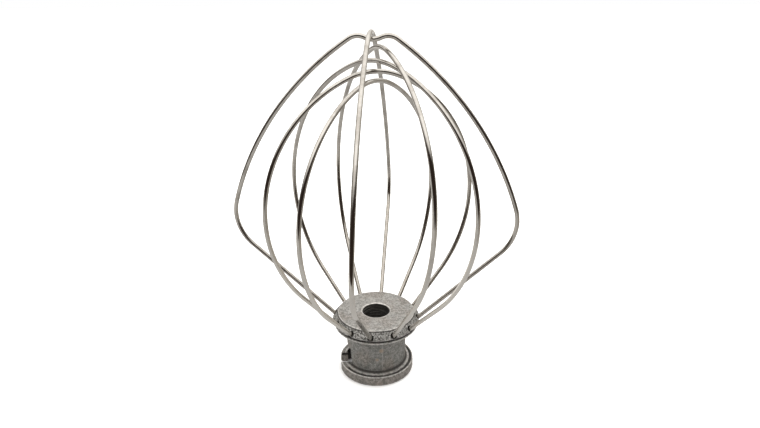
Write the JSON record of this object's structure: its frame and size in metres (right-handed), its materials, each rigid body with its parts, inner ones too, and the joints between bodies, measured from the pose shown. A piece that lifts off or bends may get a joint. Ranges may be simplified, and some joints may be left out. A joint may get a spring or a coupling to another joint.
{
  "type": "balloon whisk",
  "caption": "Stand mixer wire whip: a cast spool-shaped hub with a stepped shaft bore and a bayonet pin slot holds crossed bent wire loops that form an open cage.",
  "frame": {"origin": "centre of the hub's mixer end, on the shaft bore axis", "axes": "+Z along the bore axis from the mixer end towards the crossing wires, +X along the lower wide loop"},
  "size_m": [0.115, 0.1133, 0.1422],
  "materials": {
    "cast_metal": "as cast, dull, worn bright on the edges",
    "wire": "polished"
  },
  "bodies": {
    "root": {"hub": "cast_metal", "wide_loop_lower": "wire", "wide_loop_upper": "wire", "egg_loop_first": "wire", "egg_loop_second": "wire", "egg_loop_third": "wire", "egg_loop_fourth": "wire"}
  },
  "joints": []
}
